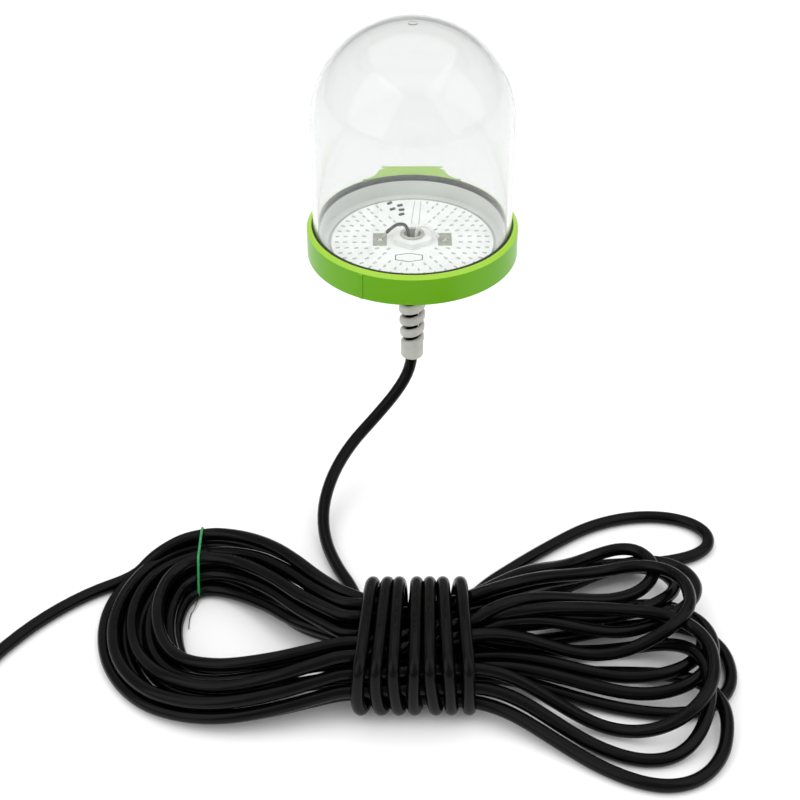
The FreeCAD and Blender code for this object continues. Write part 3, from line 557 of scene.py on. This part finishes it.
# The two ends, from the twist down to the floor, as steps from the foot of the tie.
TIE_ENDS = (
    ((0, .002, .006), (-.006, -.002, .003), (-.013, -.008, .0015), (-.017, -.018, .001)),
    ((0, .002, .004), (-.001, -.006, .0015), (-.005, -.015, .001), (-.004, -.026, .001)),
)


def crossings(points, x):
    """Where a line of points passes through the plane at x, as (y, z)."""
    found = []
    for one, other in zip(points[:-1], points[1:]):
        if (one[0] - x) * (other[0] - x) < 0:
            share = (x - one[0]) / (other[0] - one[0])
            found.append(tuple(a + (b - a) * share for a, b in zip(one[1:], other[1:])))
    return found


def hull(spots):
    """The convex outline of some (y, z) spots."""
    def chain(ordered):
        line = []
        for spot in ordered:
            while len(line) > 1 and ((line[-1][0] - line[-2][0]) * (spot[1] - line[-2][1])
                                     <= (line[-1][1] - line[-2][1]) * (spot[0] - line[-2][0])):
                line.pop()
            line.append(spot)
        return line[:-1]
    ordered = sorted(set(spots))
    return chain(ordered) + chain(ordered[::-1])


def wire_curve(name, points, radius, material, closed=False):
    """A thin round wire through its points."""
    curve = bpy.data.curves.new(name, "CURVE")
    curve.dimensions = "3D"
    curve.bevel_depth = radius
    curve.bevel_resolution = 3
    curve.use_fill_caps = not closed
    spline = curve.splines.new("NURBS")
    spline.points.add(len(points) - 1)
    for point, place in zip(spline.points, points):
        point.co = (*place, 1)
    spline.order_u = 3
    spline.use_endpoint_u = not closed
    spline.use_cyclic_u = closed
    wire = bpy.data.objects.new(name, curve)
    bpy.context.scene.collection.objects.link(wire)
    curve.materials.append(material)
    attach(wire, "lamp")
    return wire


def add_tie(cable):
    """The green wire tie that hugs the far side of the left lobe, and its two bare ends."""
    reach = CABLE_R + TIE_R
    round_about = [2 * math.pi * step / HULL_SIDES for step in range(HULL_SIDES)]
    spots = [(y + reach * math.cos(turn), max(FLOOR + TIE_R, z + reach * math.sin(turn)))
             for y, z in crossings(cable, TIE_X) if y > TIE_NEAR_EDGE for turn in round_about]
    outline = [(TIE_X, y, z) for y, z in hull(spots)]
    loop = wire_curve("wire_tie", outline, TIE_R, MATERIALS["tie_green"], closed=True)
    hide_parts("twist_tie")
    twist = (TIE_X, min(y for _, y, _ in outline), FLOOR)
    ends = []
    for index, steps in enumerate(TIE_ENDS):
        route = [tuple(a + b for a, b in zip(twist, step)) for step in steps]
        end = wire_curve(f"tie_end_{index + 1}", route, TIE_END_R, MATERIALS["wire_black"])
        ends.append(end)
    return [loop, *ends]


cable_line = cable_points()
add_cable(MATERIALS["cable_rubber"], cable_line, add_tie(cable_line))

# --- spiral sleeve and compression nut ----------------------------------------------------

SLEEVE_TIP, SLEEVE_TOP = (corner.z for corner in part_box("gland_nut"))
AROUND = 72
QUARTER_STEPS = 5
SMOOTH_ANGLE = math.radians(40)
HOLE_R = .0047
NUT_FLATS = .022
NUT_CHAMFER = .0011
NUT_LOW = SLEEVE_TOP - .015
SOCKET_R = .0092
SOCKET_LOW = SLEEVE_TOP - .014
CUFF_R = .0076
CUFF_HOLE_R = HOLE_R - .0003
CUFF_LONG = .0122
CUFF_ROUND = .0014
COIL_START = SLEEVE_TIP + .0102     # the height of the spiral's middle where it leaves the cuff
COIL_TURNS = 4.6
COIL_PITCH = .0092
COIL_HIGH = .0064
COIL_ROUND = .0022
COIL_LOW_R = .0079
COIL_TOP_R = .0094
COIL_STEPS = 48
COIL_TURN = math.radians(-165)      # where round the axis the spiral leaves the cuff
NECK_LOW = COIL_START + COIL_PITCH * COIL_TURNS - .006
NECK_R = .0104
NECK_BEVEL = .001
NECK_IN_NUT = .001


def quarter(middle_r, middle_z, radius, start):
    """Points of a quarter circle in a section, from a start angle in degrees, anticlockwise."""
    turns = [math.radians(start + 90 * step / QUARTER_STEPS)
             for step in range(QUARTER_STEPS + 1)]
    return [(middle_r + radius * math.cos(turn), middle_z + radius * math.sin(turn))
            for turn in turns]


def rounded_box(low_r, low_z, high_r, high_z, radius):
    """A section with four round corners, as (r, z) points, anticlockwise."""
    corners = ((high_r - radius, low_z + radius, -90), (high_r - radius, high_z - radius, 0),
               (low_r + radius, high_z - radius, 90), (low_r + radius, low_z + radius, 180))
    return [spot for r, z, start in corners for spot in quarter(r, z, radius, start)]


def skin(mesh, rows, ring_closed=True):
    """Faces over rows of points. Each row is a loop. The rows close into a ring or get ends."""
    made = [[mesh.verts.new(place) for place in row] for row in rows]
    count = len(made[0])
    pairs = list(zip(made[:-1], made[1:])) + ([(made[-1], made[0])] if ring_closed else [])
    for one, other in pairs:
        for index in range(count):
            after = (index + 1) % count
            mesh.faces.new((one[index], one[after], other[after], other[index]))
    if not ring_closed:
        mesh.faces.new(made[0][::-1])
        mesh.faces.new(made[-1])


def lathe(mesh, section, radius_at=None):
    """A closed (r, z) section turned about the lamp's axis. radius_at(r, turn) may shape it."""
    rows = []
    for step in range(AROUND):
        turn = 2 * math.pi * step / AROUND
        row = []
        for r, z in section:
            out_r = radius_at(r, turn) if radius_at else r
            row.append((out_r * math.cos(turn), AXIS_Y + out_r * math.sin(turn), z))
        rows.append(row)
    skin(mesh, rows)


def hexagonal(r, turn):
    """The radius r, cut back to the nut's flat where it would stand out past it."""
    sixth = math.pi / 3
    from_flat = (turn % sixth) - sixth / 2
    return min(r, NUT_FLATS / 2 / math.cos(from_flat))


def coil_rows():
    """The spiral's sections from the cuff up to the nut, each a little wider than the last."""
    rows = []
    count = round(COIL_TURNS * COIL_STEPS)
    half = COIL_HIGH / 2
    for step in range(count + 1):
        share = step / count
        turn = COIL_TURN + 2 * math.pi * COIL_TURNS * share
        z = COIL_START + COIL_PITCH * COIL_TURNS * share
        out_r = COIL_LOW_R + (COIL_TOP_R - COIL_LOW_R) * share
        section = rounded_box(HOLE_R, z - half, out_r, z + half, COIL_ROUND)
        rows.append([(r * math.cos(turn), AXIS_Y + r * math.sin(turn), height)
                     for r, height in section])
    return rows


def finish_mesh(name, mesh, body, slot_name):
    """A shaded object from a bmesh, riding on its body."""
    bmesh.ops.recalc_face_normals(mesh, faces=mesh.faces)
    data = bpy.data.meshes.new(name)
    mesh.to_mesh(data)
    mesh.free()
    data.shade_smooth()
    data.set_sharp_from_angle(angle=SMOOTH_ANGLE)
    data.materials.append(MATERIALS[slot_name])
    piece = bpy.data.objects.new(name, data)
    bpy.context.scene.collection.objects.link(piece)
    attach(piece, body)
    return piece


def add_sleeve():
    """The compression nut with the cuff, the spiral and the neck that are moulded on it."""
    mesh = bmesh.new()
    cuff_top = SLEEVE_TIP + CUFF_LONG
    lathe(mesh, rounded_box(CUFF_HOLE_R, SLEEVE_TIP, CUFF_R, cuff_top, CUFF_ROUND))
    skin(mesh, coil_rows(), ring_closed=False)
    neck_top = NUT_LOW + NECK_IN_NUT
    lathe(mesh, [(HOLE_R, NECK_LOW), (COIL_TOP_R - NECK_BEVEL, NECK_LOW),
                 (COIL_TOP_R, NECK_LOW + NECK_BEVEL), (NECK_R, NUT_LOW), (NECK_R, neck_top),
                 (HOLE_R, neck_top)])
    corner = NUT_FLATS / math.sqrt(3)
    half_chamfer = NUT_CHAMFER / 2
    lathe(mesh, [(SOCKET_R, SOCKET_LOW), (HOLE_R, SOCKET_LOW), (HOLE_R, NUT_LOW),
                 (corner - NUT_CHAMFER, NUT_LOW), (corner, NUT_LOW + half_chamfer),
                 (corner, SLEEVE_TOP - half_chamfer), (corner - NUT_CHAMFER, SLEEVE_TOP),
                 (SOCKET_R, SLEEVE_TOP)], hexagonal)
    sleeve = finish_mesh("spiral_sleeve", mesh, "compression_nut", "gland_grey")
    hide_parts("gland_nut")


add_sleeve()

# --- board print --------------------------------------------------------------------------

PRINT_HIGH = .00006
BOARD_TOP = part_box("led_board")[1].z
BADGE_MIDDLE = (-.0023, AXIS_Y - .0225)
BADGE_HALF_WIDE = .0085
BADGE_SIDE = .0028
BADGE_PEAK = .0052
BADGE_LINE = .0006
# The two dashed lines behind the middle: each one's far and near end, from the lamp's axis.
BUS_LINES = (((.0020, .0505), (-.0010, .0155)), ((.0062, .0500), (.0042, .0160)))
BUS_DASH = .0013
BUS_GAP = .0009
BUS_LINE = .0004
EDGE_MARKS = 13                # pairs of short lines along the board's near edge
EDGE_MARK_R = (.0468, .0512)
EDGE_MARK_SPAN = math.radians(64)
EDGE_PAIR = math.radians(1.5)


def stroke(mesh, start, end, wide):
    """A printed line from start to end on the board, as a thin raised strip."""
    start, end = Vector(start), Vector(end)
    along = (end - start).normalized()
    side = Vector((-along.y, along.x)) * wide / 2
    outline = [start + side, start - side, end - side, end + side]
    low = [mesh.verts.new((*spot, BOARD_TOP)) for spot in outline]
    high = [mesh.verts.new((*spot, BOARD_TOP + PRINT_HIGH)) for spot in outline]
    mesh.faces.new(high)
    mesh.faces.new(low[::-1])
    for index in range(len(outline)):
        after = (index + 1) % len(outline)
        mesh.faces.new((low[index], low[after], high[after], high[index]))


def add_print():
    """The badge's plain outline, the dashed lines and the marks along the near edge."""
    mesh = bmesh.new()
    x, y = BADGE_MIDDLE
    badge = [(x - BADGE_HALF_WIDE, y - BADGE_SIDE), (x, y - BADGE_PEAK),
             (x + BADGE_HALF_WIDE, y - BADGE_SIDE), (x + BADGE_HALF_WIDE, y + BADGE_SIDE),
             (x, y + BADGE_PEAK), (x - BADGE_HALF_WIDE, y + BADGE_SIDE)]
    for start, end in zip(badge, badge[1:] + badge[:1]):
        stroke(mesh, start, end, BADGE_LINE)
    for start, end in BUS_LINES:
        start = Vector((start[0], AXIS_Y + start[1]))
        end = Vector((end[0], AXIS_Y + end[1]))
        along = (end - start).normalized()
        for dash in range(int((end - start).length / (BUS_DASH + BUS_GAP))):
            at = start + along * dash * (BUS_DASH + BUS_GAP)
            stroke(mesh, at, at + along * BUS_DASH, BUS_LINE)
    for mark in range(EDGE_MARKS):
        middle = -math.pi / 2 + EDGE_MARK_SPAN * (mark / (EDGE_MARKS - 1) - .5)
        for turn in (middle - EDGE_PAIR, middle + EDGE_PAIR):
            ends = [(r * math.cos(turn), AXIS_Y + r * math.sin(turn)) for r in EDGE_MARK_R]
            stroke(mesh, *ends, BUS_LINE)
    finish_mesh("board_print", mesh, "lamp", "chip_black")


add_print()

# --- light and floor ----------------------------------------------------------------------

ROOM_LIGHT = 0.9     # how bright the room is to everything but reflections
ROOM_GLOSS = 0.45    # how bright the room is where it is reflected, between the soft lights
# Soft lights: name, place, width and height in metres, power in watts.
LIGHTS = (
    ("window_left", (-1.1, -.9, .9), 1.5, 1.7, 9),
    ("window_right", (1.1, -.6, .9), 1.4, 1.6, 6),
    ("ceiling", (0, .1, 1.4), 1.9, 1.9, 8),
)
LIGHTS_AIM = (0, -.15, -.03)
FLOOR_HALF = 6
FLOOR_PALE = (.93, .93, .93)
FLOOR_ROUGH = .9


def add_area_light(name, place, size_x, size_y, power):
    """A soft rectangular light that faces the part."""
    data = bpy.data.lights.new(name, "AREA")
    data.shape = "RECTANGLE"
    data.size = size_x
    data.size_y = size_y
    data.energy = power
    light = bpy.data.objects.new(name, data)
    light.location = place
    light.rotation_euler = (Vector(LIGHTS_AIM) - Vector(place)).to_track_quat("-Z", "Y").to_euler()
    bpy.context.scene.collection.objects.link(light)


def add_studio():
    """A white room, three soft lights and the floor that the cable lies on."""
    world = bpy.data.worlds.new("studio")
    world.use_nodes = True
    nodes = world.node_tree.nodes
    links = world.node_tree.links
    background = nodes["Background"]
    background.inputs["Color"].default_value = (1, 1, 1, 1)
    ray = nodes.new("ShaderNodeLightPath")
    strength = nodes.new("ShaderNodeMapRange")
    strength.inputs["To Min"].default_value = ROOM_LIGHT
    strength.inputs["To Max"].default_value = ROOM_GLOSS
    links.new(ray.outputs["Is Glossy Ray"], strength.inputs["Value"])
    links.new(strength.outputs["Result"], background.inputs["Strength"])
    bpy.context.scene.world = world
    for light in LIGHTS:
        add_area_light(*light)
    plane = bpy.data.meshes.new("floor")
    corners = [(-1, -1), (1, -1), (1, 1), (-1, 1)]
    plane.from_pydata([(x * FLOOR_HALF, y * FLOOR_HALF, 0) for x, y in corners],
                      [], [(0, 1, 2, 3)])
    floor = bpy.data.objects.new("floor", plane)
    floor.location.z = FLOOR
    bpy.context.scene.collection.objects.link(floor)
    plane.materials.append(new_material("floor_pale", FLOOR_PALE, FLOOR_ROUGH))
    bpy.context.scene.view_settings.view_transform = "Standard"


add_studio()
